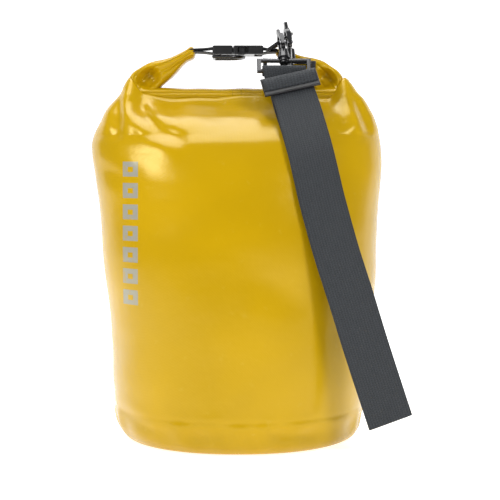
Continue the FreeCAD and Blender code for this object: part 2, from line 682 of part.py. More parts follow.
slider_start, slider_end = V(*FRONT_RUN[1][:3]), V(*FRONT_RUN[3][:3])
upward = (slider_start - slider_end).normalize()
slider_turn = Turn(across(8), V(), upward, "ZXY")
slider_stand_off = size("strap_thickness") / 2 + size("slider_thickness") / 2 + SLIDER_GAP
slider_middle = slider_start + slider_turn.multVec(V(0, -slider_stand_off, 0))
make_slider(FreeCAD.Placement(slider_middle, slider_turn))

doc.recompute()
for obj in doc.Objects:
    if {"Invalid", "Error"} & set(obj.State):
        raise RuntimeError(f"{obj.Label} failed: {obj.State}")
os.makedirs("parts", exist_ok=True)
for label, obj in made.items():
    shape = obj.Shape
    if shape.isNull() or not shape.isValid() or shape.Volume <= 0:
        raise RuntimeError(f"{label} has no sound shape")
    shape.exportStep(f"parts/{label}.step")
    print(f"{label}: {len(shape.Solids)} solid, {shape.Volume:.0f} mm3")
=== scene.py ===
"""Roll-top dry bag: fabric, webbing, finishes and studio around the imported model. Metres, +Z up, -Y front."""
import json

import bpy
import numpy as np
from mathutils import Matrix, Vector

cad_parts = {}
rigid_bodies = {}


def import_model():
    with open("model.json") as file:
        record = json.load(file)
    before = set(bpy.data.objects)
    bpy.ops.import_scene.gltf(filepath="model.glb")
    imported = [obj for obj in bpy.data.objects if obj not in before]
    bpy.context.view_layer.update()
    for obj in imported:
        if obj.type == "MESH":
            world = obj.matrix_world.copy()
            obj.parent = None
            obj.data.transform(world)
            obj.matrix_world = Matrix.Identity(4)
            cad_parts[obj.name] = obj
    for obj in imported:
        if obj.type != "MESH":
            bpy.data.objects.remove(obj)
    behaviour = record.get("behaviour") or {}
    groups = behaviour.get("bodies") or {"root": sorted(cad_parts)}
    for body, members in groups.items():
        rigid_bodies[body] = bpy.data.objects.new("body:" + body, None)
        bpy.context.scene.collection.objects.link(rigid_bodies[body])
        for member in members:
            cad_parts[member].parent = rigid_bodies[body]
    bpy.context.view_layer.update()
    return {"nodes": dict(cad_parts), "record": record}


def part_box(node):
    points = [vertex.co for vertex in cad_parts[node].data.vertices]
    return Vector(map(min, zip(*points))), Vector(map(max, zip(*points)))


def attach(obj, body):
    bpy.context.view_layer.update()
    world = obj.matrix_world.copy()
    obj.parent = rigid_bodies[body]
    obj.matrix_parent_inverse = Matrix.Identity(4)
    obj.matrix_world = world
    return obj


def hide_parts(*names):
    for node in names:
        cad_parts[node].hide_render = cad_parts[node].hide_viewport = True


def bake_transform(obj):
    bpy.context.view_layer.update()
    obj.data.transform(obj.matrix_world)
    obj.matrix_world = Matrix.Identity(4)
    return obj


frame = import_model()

bl_info = {
    "name": "Roll-top dry bag",
    "version": (1, 0, 0),
    "blender": (4, 5, 0),
    "location": "View3D > Sidebar > Dry bag",
    "description": "Builds the fabric, webbing and finishes of a roll-top dry bag",
    "category": "Object",
}

MM = 0.001
BUCKLE_LOW, BUCKLE_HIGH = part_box("buckle_socket")
BUCKLE_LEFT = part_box("buckle_plug")[0][0]
BUCKLE_Z = (BUCKLE_LOW[2] + BUCKLE_HIGH[2]) / 2


# ---- settings ----


class BagFabricSettings(bpy.types.PropertyGroup):
    colour: bpy.props.FloatVectorProperty(
        name="Fabric colour", description="Colour of the coated fabric", subtype="COLOR", size=3,
        default=(0.53, 0.318, 0.0014), min=0, max=1)
    undulation: bpy.props.FloatProperty(
        name="Undulation", description="Height of the fabric's broad waves", default=1.1 * MM,
        unit="LENGTH")
    crease_depth: bpy.props.FloatProperty(
        name="Crease depth", description="Depth of the creases under the roll", default=3.2 * MM,
        unit="LENGTH")
    mark_colour: bpy.props.FloatVectorProperty(
        name="Mark colour", description="Colour of the plain bars on the front", subtype="COLOR", size=3,
        default=(0.33, 0.32, 0.27), min=0, max=1)


class WebbingSettings(bpy.types.PropertyGroup):
    colour: bpy.props.FloatVectorProperty(
        name="Webbing colour", description="Colour of the straps", subtype="COLOR", size=3,
        default=(0.019, 0.0225, 0.027), min=0, max=1)
    strap_width: bpy.props.FloatProperty(
        name="Strap width", description="Width of the shoulder strap", default=38 * MM, unit="LENGTH")
    strap_thickness: bpy.props.FloatProperty(
        name="Strap thickness", description="Thickness of the shoulder strap", default=1.7 * MM,
        unit="LENGTH")
    handle_width: bpy.props.FloatProperty(
        name="Handle webbing width", description="Width of the webbing on the buckle", default=25 * MM,
        unit="LENGTH")


class StudioSettings(bpy.types.PropertyGroup):
    key_power: bpy.props.FloatProperty(
        name="Key light", description="Power of the soft light high on the right", default=9.0, unit="POWER")
    fill_power: bpy.props.FloatProperty(
        name="Fill light", description="Power of the large soft light on the left", default=9.0, unit="POWER")
    room_light: bpy.props.FloatProperty(
        name="Room light", description="Strength of the pale surroundings", default=0.14, min=0)


# ---- shader maths ----


def as_value(thing):
    return thing.socket if isinstance(thing, Sock) else thing


class Sock:
    """An output socket that adds Math nodes when it is used in an expression."""

    def __init__(self, paint, socket):
        self.paint, self.socket = paint, socket

    def maths(self, operation, first, second=0.0):
        return self.paint.add("ShaderNodeMath", {"operation": operation}, {0: first, 1: second})

    def __add__(self, other):
        return self.maths("ADD", self, other)

    def __sub__(self, other):
        return self.maths("SUBTRACT", self, other)

    def __mul__(self, other):
        return self.maths("MULTIPLY", self, other)

    def __truediv__(self, other):
        return self.maths("DIVIDE", self, other)

    def __rsub__(self, other):
        return self.maths("SUBTRACT", other, self)

    __radd__, __rmul__ = __add__, __mul__

    def __gt__(self, other):
        return self.maths("GREATER_THAN", self, other)

    def __lt__(self, other):
        return self.maths("LESS_THAN", self, other)

    def __abs__(self):
        return self.maths("ABSOLUTE", self)

    def sine(self):
        return self.maths("SINE", self)

    def fraction(self):
        return self.maths("FRACT", self)


class Finish:
    """A material and the one way to add nodes to it."""

    def __init__(self, name):
        self.material = bpy.data.materials.new(name)
        self.material.use_nodes = True
        self.tree = self.material.node_tree
        self.shader = self.tree.nodes["Principled BSDF"]
        self.objects = self.add("ShaderNodeTexCoord", {}, {}, "Object")

    def add(self, kind, settings, values, output=0):
        """Adds a node of a kind, gives it its settings, and then its sockets' values or links."""
        node = self.tree.nodes.new(kind)
        for key, value in settings.items():
            setattr(node, key, value)
        for key, value in values.items():
            self.give(node.inputs[key], value)
        return Sock(self, node.outputs[output])

    def give(self, socket, value):
        value = as_value(value)
        if isinstance(value, bpy.types.NodeSocket):
            self.tree.links.new(value, socket)
        else:
            socket.default_value = value

    def noise(self, scale, detail):
        return self.add("ShaderNodeTexNoise", {}, {
            "Vector": self.objects, "Scale": scale, "Detail": detail, "Roughness": 0.5})

    def mix(self, factor, first, second):
        """A colour from two: sockets 6 and 7 of a Mix node set to colour."""
        return self.add("ShaderNodeMix", {"data_type": "RGBA"}, {0: factor, 6: first, 7: second}, 2)

    def axes(self, vector):
        parts = self.add("ShaderNodeSeparateXYZ", {}, {0: vector})
        return [Sock(self, parts.socket.node.outputs[n]) for n in range(3)]

    def ramp(self, factor, low, high):
        """Rises from 0 to 1 while factor goes from low to high."""
        return self.add("ShaderNodeMapRange", {"interpolation_type": "SMOOTHSTEP"}, {
            "Value": factor, "From Min": low, "From Max": high})

    def bump(self, height, strength, distance):
        normal = self.add("ShaderNodeBump", {}, {
            "Height": height, "Strength": strength, "Distance": distance})
        self.give(self.shader.inputs["Normal"], normal)

    def surface(self, **sockets):
        for key, value in sockets.items():
            self.give(self.shader.inputs[key.replace("_", " ")], value)
        return self.material


def rgb(colour, share=1.0):
    return (colour[0] * share, colour[1] * share, colour[2] * share, 1.0)


# The plain bars: their column, their first foot, pitch and number, the painted share of each pitch, and
# the slot left open in each, as shares of the column's half width and of the pitch.
MARK_MIDDLE, MARK_HALF_WIDTH = -0.0905, 0.0068
MARK_LOW, MARK_PITCH, MARK_COUNT = 0.124, 0.0181, 7
MARK_FILL, SLOT_WIDTH, SLOT_LOW, SLOT_HIGH = 0.7, 0.34, 0.22, 0.46
# Height of the band at the bottom over which the fabric's colour turns darker.
BASE_DARKENING_HEIGHT = 0.03
STITCH_OFFSET, STITCH_HALF_WIDTH, STITCHES_PER_METRE = 0.0038, 0.00032, 420.0


def coated_fabric(name, colour, mark_colour=None, seam=False):
    """Glossy coated fabric with a fine knit and scuffs, and optionally plain grey bars or stitches."""
    paint = Finish(name)
    x, y, z = paint.axes(paint.objects)
    broad = paint.noise(9.0, 2.0)
    scuffs = paint.noise(140.0, 4.0)
    base = paint.mix(paint.ramp(broad, 0.35, 0.7), rgb(colour, 0.93), rgb(colour, 1.06))
    base = paint.mix(paint.ramp(scuffs, 0.62, 0.8) * 0.07, base, rgb((0.78, 0.62, 0.16)))
    # The colour turns darker towards the bottom: mixed by up to 35 % towards a copy at 0.6 of itself, over the
    # lowest 30 mm.
    base_darkening = 1 - paint.ramp(z, 0.0, BASE_DARKENING_HEIGHT)
    base = paint.mix(base_darkening * 0.35, base, rgb(colour, 0.6))
    if mark_colour:
        column = (abs(x - MARK_MIDDLE) < MARK_HALF_WIDTH) * (y < 0)
        along = (z - MARK_LOW) / MARK_PITCH
        bars = (along > 0) * (along < MARK_COUNT) * (along.fraction() < MARK_FILL)
        slot = 1 - (abs(x - MARK_MIDDLE) < MARK_HALF_WIDTH * SLOT_WIDTH) * (
            along.fraction() < SLOT_HIGH) * (along.fraction() > SLOT_LOW)
        worn = 1 - paint.ramp(scuffs, 0.55, 0.75) * 0.5
        base = paint.mix(column * bars * slot * worn, base, rgb(mark_colour))
    if seam:
        dots = (abs(abs(x) - STITCH_OFFSET) < STITCH_HALF_WIDTH) * ((z + y) * STITCHES_PER_METRE).fraction()
        base = paint.mix(dots * 0.75, base, rgb(colour, 0.32))
    rough = broad * 0.10 + scuffs * 0.06 + 0.15
    knit = (x * 2600.0 + y * 2600.0).sine() * (z * 2600.0).sine()
    height = knit * 0.02 + paint.noise(38.0, 4.0) * 0.9 + paint.noise(300.0, 2.0) * 0.05
    paint.bump(height, 0.32, 2.2 * MM)
    return paint.surface(Base_Color=base, Roughness=rough, Coat_Weight=0.06, Coat_Roughness=0.22,
                         Specular_IOR_Level=0.5, Specular_Tint=(1.0, 0.86, 0.36, 1.0))


def ribbed_webbing(name, colour, ribs):
    """Polyester webbing: paler ribs along its length, picks across, fine fuzz, and painted shade along both
    edges.
    """
    paint = Finish(name)
    across, along, _ = paint.axes(paint.add("ShaderNodeUVMap", {"uv_map": "UVMap"}, {}))
    rib = (across * (ribs * 2 * np.pi)).sine() * 0.5 + 0.5
    pick = (along * (2 * np.pi / (2.0 * MM)) + (across * (ribs * np.pi)).sine() * 1.6).sine() * 0.5 + 0.5
    fuzz = paint.noise(900.0, 3.0)
    base = paint.mix(rib * 0.45 + pick * 0.45, rgb(colour, 0.5), rgb(colour, 1.6))
    base = paint.mix(paint.ramp(fuzz, 0.5, 0.8) * 0.3, base, rgb(colour, 2.2))
    # Painted shade: both rounded edges are mixed towards half the webbing's colour.
    edge = paint.ramp(abs(across - 0.5), 0.455, 0.485)
    base = paint.mix(edge * 0.6, base, rgb(colour, 0.5))
    paint.bump(rib * 0.7 + pick * 0.4 + fuzz * 0.15, 0.75, 0.55 * MM)
    return paint.surface(Base_Color=base, Roughness=0.62 + fuzz * 0.2, Sheen_Weight=0.08,
                         Sheen_Roughness=0.5)


def moulded_black(name, colour, roughness):
    """Black nylon or coated metal: a fine grain, small scratches and a soft gloss."""
    paint = Finish(name)
    grain, marks = paint.noise(1400.0, 2.0), paint.noise(220.0, 4.0)
    base = paint.mix(paint.ramp(marks, 0.6, 0.85) * 0.5, rgb(colour), rgb((0.05, 0.05, 0.055)))
    paint.bump(grain * 0.3 + marks * 0.3, 0.05, 0.2 * MM)
    return paint.surface(Base_Color=base, Roughness=marks * 0.16 + roughness, Coat_Weight=0.3,
                         Coat_Roughness=0.12)


def bright_steel(name):
    """Steel with fine drawn lines."""
    paint = Finish(name)
    lines = paint.noise(900.0, 2.0)
    paint.bump(lines, 0.1, 0.1 * MM)
    base = paint.mix(lines, rgb((0.42, 0.42, 0.44)), rgb((0.62, 0.62, 0.64)))
    return paint.surface(Base_Color=base, Roughness=lines * 0.15 + 0.22, Metallic=1.0)


# ---- surfaces ----


def between(values, count):
    """Catmull-Rom values at count even steps through the rows of values, one row for each knot."""
    values = np.asarray(values, float)
    padded = np.vstack([2 * values[0] - values[1], values, 2 * values[-1] - values[-2]])
    spot = np.linspace(0, len(values) - 1, count)
    low = np.minimum(spot.astype(int), len(values) - 2)
    f = (spot - low)[:, None]
    a, b, c, d = (padded[low + n] for n in range(4))
    return 0.5 * (2 * b + (c - a) * f + (2 * a - 5 * b + 4 * c - d) * f**2 + (3 * b - a - 3 * c + d) * f**3)


def tube_mesh(name, points, uv=None):
    """A closed skin from a grid of rings (rings, around, 3): quads round each ring, a fan at each end."""
    rings, around = points.shape[:2]
    corner = np.arange(rings * around).reshape(rings, around)
    right = np.roll(corner, -1, axis=1)
    quads = np.stack([corner[:-1], right[:-1], right[1:], corner[1:]], axis=-1).reshape(-1, 4)
    ends = points[0].mean(0), points[-1].mean(0)
    first, last = rings * around, rings * around + 1
    fans = [
        np.stack([right[0], corner[0], np.full(around, first)], axis=-1),
        np.stack([corner[-1], right[-1], np.full(around, last)], axis=-1),
    ]
    mesh = bpy.data.meshes.new(name)
    vertices = np.vstack([points.reshape(-1, 3), ends])
    mesh.from_pydata(vertices.tolist(), [], quads.tolist() + fans[0].tolist() + fans[1].tolist())
    mesh.polygons.foreach_set("use_smooth", np.ones(len(mesh.polygons), bool))
    if uv is not None:
        values = np.vstack([uv.reshape(-1, 2), uv[0].mean(0), uv[-1].mean(0)])
        index = np.empty(len(mesh.loops), int)
        mesh.loops.foreach_get("vertex_index", index)
        uv_map = mesh.uv_layers.new(name="UVMap")
        uv_map.data.foreach_set("uv", values[index].ravel())
    mesh.update()
    piece = bpy.data.objects.new(name, mesh)
    bpy.context.scene.collection.objects.link(piece)
    return piece


def power(value, exponent):
    return np.sign(value) * np.abs(value) ** exponent


def near_line(x, z, start, end):
    """Distance in the XZ plane from points to a segment, and how far along it they are, 0 to 1."""
    start, end = np.array(start) * MM, np.array(end) * MM
    d = end - start
    t = np.clip(((x - start[0]) * d[0] + (z - start[1]) * d[1]) / (d @ d), 0, 1)
    return np.hypot(x - start[0] - t * d[0], z - start[1] - t * d[1]), t


SKIN_LEVELS = [
    # height, middle, half width, half depth, in millimetres
    (0, 0, 3, 3), (0, 0, 40, 40), (0, 0.5, 82, 82), (0.1, 1.5, 97, 98), (1.2, 2.2, 101.8, 103.5),
    (3.6, 2.6, 105, 106.5), (8.5, 2.2, 108.2, 109.3), (17, 1.4, 110.6, 111), (28, 1.4, 112.4, 112),
    (42, 1.6, 113.6, 112.2), (57, 1.8, 115.3, 112.2),
    (79, 2.4, 115.8, 112), (100, 3.0, 116.6, 111.6), (122, 3.4, 118.6, 111), (144, 3.1, 121, 110),
    (165, 2.5, 122.2, 109), (187, 2.5, 123.4, 107), (208, 2.2, 124.9, 103), (220, 2.0, 126.1, 100),
    (231, 1.7, 127.2, 97), (242, 1.2, 128.2, 92.5), (252, 0.5, 128.5, 87), (262.5, 0, 128.1, 80),
    (273, 0.8, 125.3, 68), (283, 1.6, 119.8, 53), (290, 1.8, 112.6, 38), (295, 1.6, 106.0, 28),
    (299, 1.0, 101.8, 22), (301.6, 0.6, 99.6, 19.2), (302.2, 0.3, 98.4, 17.6), (300.5, 0.2, 95.5, 15),
    (298, 0, 60, 7), (297, 0, 3, 1),
]

CREASES = [
    # start and end across the front (x, z) and width, in millimetres, and share of the crease depth
    ((-90, 297), (-67, 272), 5.0, 1.2), ((-67, 272), (-42, 261), 6.0, 0.9),
    ((-104, 306), (-103, 262), 4.5, 1.0), ((104, 304), (117, 268), 5.0, 1.1),
    ((94, 298), (84, 262), 7.0, 0.7), ((-60, 298), (-52, 278), 6.0, 0.5),
    ((-24, 299), (-20, 276), 8.0, 0.35), ((12, 299), (15, 281), 6.0, 0.4), ((34, 299), (28, 270), 7.0, 0.4),
    ((-118, 240), (-92, 228), 7.0, 0.35), ((-100, 28), (-70, 18), 5.0, 0.4), ((-40, 16), (-5, 22), 5.0, 0.35),
    ((30, 20), (70, 14), 5.0, 0.4), ((-112, 60), (-96, 100), 9.0, 0.3), ((20, 150), (60, 120), 14.0, 0.25),
    ((-80, 190), (-20, 205), 16.0, 0.22), ((74, 250), (60, 215), 9.0, 0.35),
]

EAR_RISE, EAR_TUCK = 0.0175, 0.0025
EAR_INNER, EAR_SPREAD, EAR_FOOT, EAR_HEIGHT = 0.080, 0.019, 0.280, 0.020
FACE_FADE = 0.012
SEAM_HEIGHT, GROOVE_HEIGHT, PUCKER_HEIGHT = 0.0235, 0.029, 0.016


def make_skin(settings):
    """The bag's skin: a super-ellipse at each height, whose half axes follow the level table.

    A point is middle + half width * cos, half depth * sin, pushed along its own outward direction by
    broad waves, by the creases, and by small puckers round the base seam. Before that the rim is
    scalloped, and raised into an ear at each side.
    """
    heights = between(SKIN_LEVELS, 330) * MM
    z, middle, wide, deep = (heights[:, n:n + 1] for n in range(4))
    angle = np.linspace(0, 2 * np.pi, 260, endpoint=False)[None, :]
    boxy = 0.94 - 0.50 * np.clip((z - 0.268) / 0.026, 0, 1)
    c, s = power(np.cos(angle), boxy), power(np.sin(angle), boxy)
    x, y = middle + wide * c, deep * s
    z = z + 0 * x
    ear = np.clip((np.abs(x) - EAR_INNER) / EAR_SPREAD, 0, 1)
    ear = ear * ear * (3 - 2 * ear) * np.clip((z - EAR_FOOT) / EAR_HEIGHT, 0, 1) ** 1.3
    z = z + EAR_RISE * ear
    x = x - np.sign(x) * EAR_TUCK * ear**2
    scallop = np.clip((z - 0.290) / 0.009, 0, 1) * np.clip(1 - ear, 0, 1)
    z = z + scallop * (0.0016 * np.sin(x * 62 + 0.9) + 0.0009 * np.sin(x * 131))
    out_x, out_y = c / np.maximum(wide, 0.01), s / np.maximum(deep, 0.01)
    size = np.hypot(out_x, out_y)
    out_x, out_y = out_x / size, out_y / size
    belly = np.clip(z / 0.03, 0, 1) * np.clip((0.303 - z) / 0.012, 0, 1)
    wave = (np.sin(31 * x + 17 * z + 1.3) + np.sin(-23 * x + 41 * z + 0.6) * 0.7
            + np.sin(57 * z + 29 * x + 2) * 0.4 + np.sin(3 * angle + 22 * z) * 0.6)
    push = settings.undulation * 0.6 * wave * belly
    front = np.clip(-y / FACE_FADE, 0, 1)
    for start, end, width, share in CREASES:
        distance, t = near_line(x, z, start, end)
        fade = np.sin(np.pi * np.clip(t * 0.86 + 0.14, 0, 1)) ** 0.7
        lips = np.exp(-(distance / (width * 2.1 * MM) - 1) ** 2 * 3)
        shape = np.exp(-(distance / (width * MM)) ** 2) - 0.45 * lips
        push -= settings.crease_depth * share * shape * fade * front
        behind = near_line(-x, z, start, end)[0]
        back = np.exp(-(behind / (width * 1.3 * MM)) ** 2) * np.clip(y / FACE_FADE, 0, 1)
        push -= settings.crease_depth * share * 0.7 * back
    seam = np.exp(-((z - SEAM_HEIGHT) / 0.004) ** 2)
    push += seam * 0.5 * MM - np.exp(-((z - GROOVE_HEIGHT) / 0.0022) ** 2) * 0.3 * MM
    puckers = np.sin(angle * 23 + 3 * np.sin(angle * 4))
    push += np.exp(-((z - PUCKER_HEIGHT) / 0.009) ** 2) * 0.9 * MM * puckers
    grid = np.stack([x + out_x * push, y + out_y * push, z], axis=-1)
    return tube_mesh("bag_skin", grid)


ROLL_HALF_LENGTH, ROLL_HALF_HEIGHT, ROLL_HALF_DEPTH, ROLL_MIDDLE = 0.099, 0.0066, 0.0165, 0.3035


def make_roll():
    """The rolled mouth: a flat oval carried along X whose radius steps where each wrap ends.

    The oval's half height swells a little between soft pinches, and both ends turn up into the arms.
    """
    path = np.linspace(-ROLL_HALF_LENGTH, ROLL_HALF_LENGTH, 150)[:, None]
    angle = np.linspace(0, 2 * np.pi, 96, endpoint=False)[None, :]
    end = np.clip((np.abs(path) - 0.088) / 0.011, 0, 1)
    swell = 1 - 0.95 * end**2.5
    mid_z = ROLL_MIDDLE + 0.0022 * (np.abs(path) / 0.098) ** 4
    ripple = 0.35 * MM * np.sin(path * 190 + 1) + 0.3 * MM * np.sin(path * 83)
    half_height, half_depth = (ROLL_HALF_HEIGHT + ripple * 0.6) * swell, ROLL_HALF_DEPTH * swell
    spiral = 1 + 0.10 * (((angle / (2 * np.pi)) + 0.30) % 1.0)
    y = half_depth * power(np.sin(angle), 0.8) * spiral
    z = mid_z + half_height * power(np.cos(angle), 0.8) * spiral
    front = np.clip(-y / 0.010, 0, 1)
    y = y + front * 0.0012 * np.exp(-((z - 0.3055) / 0.0009) ** 2)
    grid = np.stack([path + 0 * y, y, z], axis=-1)
    return tube_mesh("roll_fabric", grid)


# Outer and inner lines of the two arms in the XZ plane, in millimetres, from the roll to the buckle.
LEFT_OUTER = [(-94, 290), (-96, 298), (-96.5, 306), (-96.5, 312.5), (-96, 318.5), (-93.5, 323.5),
              (-89, 327.6), (-82.5, 330.8), (-74, 333.6), (-64, 336.8), (-54, 339.7), (-46.5, 343.4),
              (-41, 347.3), (-37, 345)]
LEFT_INNER = [(-86, 290), (-80, 296), (-76, 300), (-73, 304), (-71.5, 307), (-68, 310.5), (-64, 314),
              (-60, 318), (-55.5, 322.5), (-51, 327), (-47.5, 330.5), (-44, 333.4), (-40, 335.5),
              (-37, 337.5)]
RIGHT_OUTER = [(94, 290), (96, 298), (96.5, 306), (96.5, 312), (95.5, 318), (93.5, 322.5), (89.5, 327),
               (83.6, 330.4), (77, 334), (68, 336.9), (57, 339.9), (48, 342.6), (40, 345.4), (34.5, 344.8)]
RIGHT_INNER = [(86, 290), (80, 296), (76, 300), (73, 304), (71.5, 307), (68, 310.5), (64, 314), (60, 318),
               (55.5, 322.5), (51, 327), (47.5, 331), (43.5, 334.6), (38.5, 337), (34.5, 339)]
ARM_ROOT_HALF = 0.0150
FOLDS = ((-0.42, 1.0), (0.02, 1.4), (0.40, 1.1), (0.72, 0.8))


def make_arm(name, outer, inner, tip_half, hollow):
    """A folded roll end lofted between its outer and inner lines in the XZ plane.

    Each section is a super-ellipse from the inner to the outer point; its front and back are scored by
    the edges of the folded layers, and a hollow is pressed into the front where the roll is open.
    """
    count = 150
    top, low = between(outer, count) * MM, between(inner, count) * MM
    travel = np.linspace(0, 1, count)[:, None]
    angle = np.linspace(0, 2 * np.pi, 120, endpoint=False)[None, :]
    close = np.clip((1 - travel) / 0.035, 0.0, 1) ** 0.5 * 0.55 + 0.45
    half = (ARM_ROOT_HALF + (tip_half - ARM_ROOT_HALF) * np.clip(travel * 1.25 - 0.2, 0, 1)) * close
    middle, reach = (top + low) / 2, (top - low) / 2 * close
    across = power(np.cos(angle), 0.72)
    side = power(np.sin(angle), 0.62)
    x = middle[:, :1] + reach[:, :1] * across
    z = middle[:, 1:] + reach[:, 1:] * across
    score = np.zeros_like(across + travel)
    for place, strength in FOLDS:
        drift = place + 0.10 * np.sin(travel * 7 + place * 5)
        score = score + strength * np.exp(-((across - drift) / 0.055) ** 2)
    fullness = 1 + 0.05 * np.sin(travel * 9 + across * 3)
    y = half * side * fullness - np.sign(side) * score * 1.1 * MM * np.abs(side)
    (hx, hz), (rx, rz), depth = hollow
    r = np.hypot((x - hx * MM) / (rx * MM), (z - hz * MM) / (rz * MM))
    y = y + depth * MM * np.exp(-r**4) * np.clip(-side, 0, 1)
    bulge = 0.7 * MM * np.sin(x * 210 + z * 90) * travel * (1 - travel) * 4
    grid = np.stack([x, y, z + bulge], axis=-1)
    if outer[0][0] > 0:
        grid = grid[:, ::-1]
    return tube_mesh(name, grid)


def ribbon_mesh(name, middles, sides, normals, width, thickness, stations):
    """Flat webbing: a rounded oblong carried along a smooth path with its width along sides."""
    rows = between(np.hstack([middles, sides, normals]), stations)
    middle, side, normal = rows[:, :3], rows[:, 3:6], rows[:, 6:]
    side = side / np.linalg.norm(side, axis=1, keepdims=True)
    normal = normal - side * (normal * side).sum(1, keepdims=True)
    normal = normal / np.linalg.norm(normal, axis=1, keepdims=True)
    angle = np.linspace(0, 2 * np.pi, 44, endpoint=False)
    u, v = power(np.cos(angle), 0.30), power(np.sin(angle), 0.55)
    length = np.concatenate([[0], np.cumsum(np.linalg.norm(np.diff(middle, axis=0), axis=1))])
    grid = (middle[:, None] + side[:, None] * (u * width / 2)[None, :, None]
            + normal[:, None] * (v * thickness / 2)[None, :, None])
    uv = np.stack(np.broadcast_arrays((u / 2 + 0.5)[None, :], length[:, None]), axis=-1)
    return tube_mesh(name, grid, uv)


def turn_x(degrees):
    a = np.radians(degrees)
    return np.array([[1, 0, 0], [0, np.cos(a), -np.sin(a)], [0, np.sin(a), np.cos(a)]])


def turn_about(axis, degrees):
    """Rotation matrix about a unit axis: identity + sin * K + (1 - cos) * K squared."""
    a = np.radians(degrees)
    k = np.array([[0, -axis[2], axis[1]], [axis[2], 0, -axis[0]], [-axis[1], axis[0], 0]])
    return np.eye(3) + np.sin(a) * k + (1 - np.cos(a)) * (k @ k)


FRONT_RUN = [
    # middle of the front layer, and how far its right edge is raised, in millimetres and degrees
    (43.0, -41.5, 318.0, 4), (45.8, -45.8, 312.6, 6), (51.7, -61.3, 293.0, 8), (57.0, -78.0, 272.0, 10),
    (61.3, -90.0, 254.0, 12), (66.0, -97.5, 233.0, 13), (70.8, -102.0, 212.0, 14),
    (81.8, -106.0, 172.0, 15), (94.2, -108.0, 133.0, 16), (106.6, -109.0, 93.0, 17),
    (119.4, -109.0, 54.0, 18), (127.0, -109.0, 31.0, 20),
]
BACK_RUN = [(47.2, -24.0, 311.0, 4), (49.2, -36.5, 299.5, 6), (52.6, -56.0, 286.0, 8),
            (57.0, -74.5, 270.5, 10)]
LAYER_GAP = 3.0
EYE_DROP, EYE_TURN = 12.0, 4.1
FRONT_EYE = np.array([41.0, -29.4, 333.0])
BACK_EYE = np.array([46.42, -14.35, 333.22])
STRAP_TILT, BACK_LEAN, BACK_SWING = -38.6, 12, 31.0
BACK_AXIS = np.array([np.cos(np.radians(BACK_LEAN)), 0, np.sin(np.radians(BACK_LEAN))])
FRONT_TURN = turn_x(STRAP_TILT)
BACK_TURN = FRONT_TURN @ turn_about(BACK_AXIS, BACK_SWING)


def layer(points):
    """Middles, width directions and outward normals of a run of webbing."""
    rows = np.array(points, float)
    middle, tilt = rows[:, :3], np.radians(rows[:, 3])
    along = np.gradient(middle, axis=0)
    side = np.stack([np.cos(tilt), 0 * tilt, np.sin(tilt)], axis=1)
    normal = np.cross(along, side)
    return middle, side, normal / np.linalg.norm(normal, axis=1, keepdims=True)


def round_bar(origin, turn, degrees):
    """Stations of the webbing's turn round an eye's lower bar."""
    a = np.radians(np.array(degrees, float))
    out = np.stack([0 * a, np.cos(a), np.sin(a)], axis=1)
    middle = origin + (np.array([0, 0, -EYE_DROP]) + out * EYE_TURN) @ turn.T
    side = np.tile(turn @ np.array([1.0, 0, 0]), (len(a), 1))
    return middle, side, out @ turn.T


def strap_path():
    """Round the front eye, down the front, a tight fold, up behind it, and round the back eye."""
    start = round_bar(FRONT_EYE, FRONT_TURN, (-40, 0, 45, 90, 135, 180))
    front = layer(FRONT_RUN)
    last, side, normal = (part[-1] for part in front)
    down = np.array(FRONT_RUN[-1][:3]) - np.array(FRONT_RUN[-2][:3])
    down = down / np.linalg.norm(down)
    a = np.radians([45.0, 90.0, 135.0])[:, None]
    out = normal * np.cos(a) + down * np.sin(a)
    fold = (last - normal * LAYER_GAP / 2 + out * LAYER_GAP / 2, np.tile(side, (3, 1)), out)
    behind = [part[::-1][:8] for part in layer(FRONT_RUN)]
    behind = (behind[0] - behind[2] * LAYER_GAP, behind[1], -behind[2])
    above = [part[::-1] for part in layer(BACK_RUN)]
    end = round_bar(BACK_EYE, BACK_TURN, (180, 135, 90, 45, 0, -40))
    runs = [start, front, fold, behind, (above[0], above[1], -above[2]), end]
    return [np.vstack([run[n] for run in runs]) for n in range(3)]


BAND_HALF_GAP, BAND_THICKNESS = 0.0028, 1.3 * MM
BAND_INSET, PLUG_BAND_END, SOCKET_BAND_END = 0.0039, -0.0415, 0.036


def band_loop(name, near_x, far_x, width):
    """Narrow webbing round a buckle bar, which runs into a roll end: a flat stadium in the XZ plane."""
    half, way = BAND_HALF_GAP, np.sign(far_x - near_x)
    a = np.radians(np.linspace(-90, 90, 7))
    reach = near_x - way * (np.cos(a) - 0.15) * half * 0.9
    turn = np.stack([reach, 0 * a, BUCKLE_Z + np.sin(a) * half], axis=1)
    low = np.array([[far_x, 0, BUCKLE_Z - 0.0009], [far_x * 0.45 + near_x * 0.55, 0, BUCKLE_Z - 0.0015]])
    high = low[::-1] * [1, 1, 0] + [0, 0, 2 * BUCKLE_Z] - low[::-1] * [0, 0, 1]
    middle = np.vstack([low, turn, high])
    tangent = np.gradient(middle, axis=0)
    normal = np.cross(tangent, [0, 1.0, 0])
    normal = normal / np.linalg.norm(normal, axis=1, keepdims=True)
    side = np.tile([0, 1.0, 0], (len(middle), 1))
    return ribbon_mesh(name, middle, side, normal, width, BAND_THICKNESS, 90)


# The slider's turn of webbing: tilt in degrees, its centre's distance and half axes in millimetres.
HUMP_TILT, HUMP_STANDOFF, HUMP_REACH, HUMP_RISE = 8, 3.05, 5.2, 6.2
HUMP_WIDTH, HUMP_THICKNESS = 0.0468, 1.6 * MM


